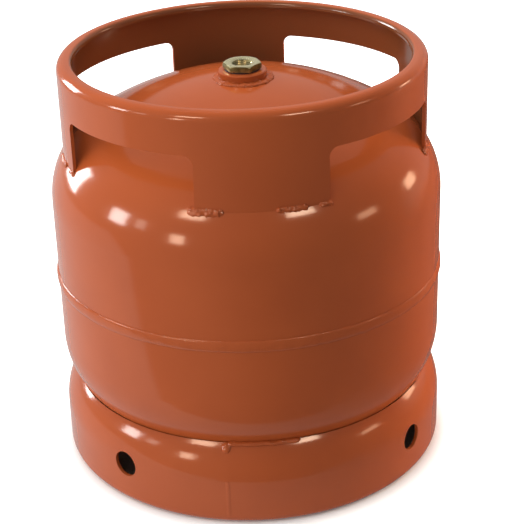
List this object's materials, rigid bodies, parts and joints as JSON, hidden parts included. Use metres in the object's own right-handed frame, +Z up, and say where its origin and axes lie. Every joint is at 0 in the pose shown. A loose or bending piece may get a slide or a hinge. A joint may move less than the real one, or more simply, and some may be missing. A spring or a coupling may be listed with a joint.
{
  "type": "small portable gas cylinder",
  "caption": "Squat welded steel gas cylinder with a guard collar cut by hand holes, a drained foot ring and a sprung brass centre valve.",
  "frame": {"origin": "on the vessel's axis at the level the foot ring stands on", "axes": "+Z up along the vessel's axis, -Y towards the middle of the collar's front leg"},
  "size_m": [0.2956, 0.2956, 0.3117],
  "materials": {
    "orange_enamel": "glossy rust-orange stove enamel over steel",
    "valve_brass": "machined brass, slightly dulled",
    "seal_rubber": "matt black nitrile",
    "spring_steel": "drawn stainless wire"
  },
  "bodies": {
    "cylinder": {"upper_shell": "orange_enamel", "lower_shell": "orange_enamel", "girth_weld": "orange_enamel", "valve_boss": "orange_enamel", "boss_weld": "orange_enamel", "collar": "orange_enamel", "collar_seam_weld": "orange_enamel", "collar_welds": "orange_enamel", "foot_ring": "orange_enamel", "foot_ring_seam_weld": "orange_enamel", "foot_ring_welds": "orange_enamel", "valve_body": "valve_brass", "valve_gasket": "seal_rubber", "outlet_seal": "seal_rubber", "valve_spring": "spring_steel", "spring_retainer": "valve_brass"},
    "poppet": {"valve_poppet": "valve_brass", "poppet_seal": "seal_rubber"}
  },
  "joints": [
    {"name": "poppet_travel", "type": "slide", "parent": "cylinder", "child": "poppet", "axis": [0, 0, -1], "range_m": [0, 0.003], "stiffness_N_per_m": 400, "springref_m": -0.01, "deforming": ["valve_spring"]}
  ]
}
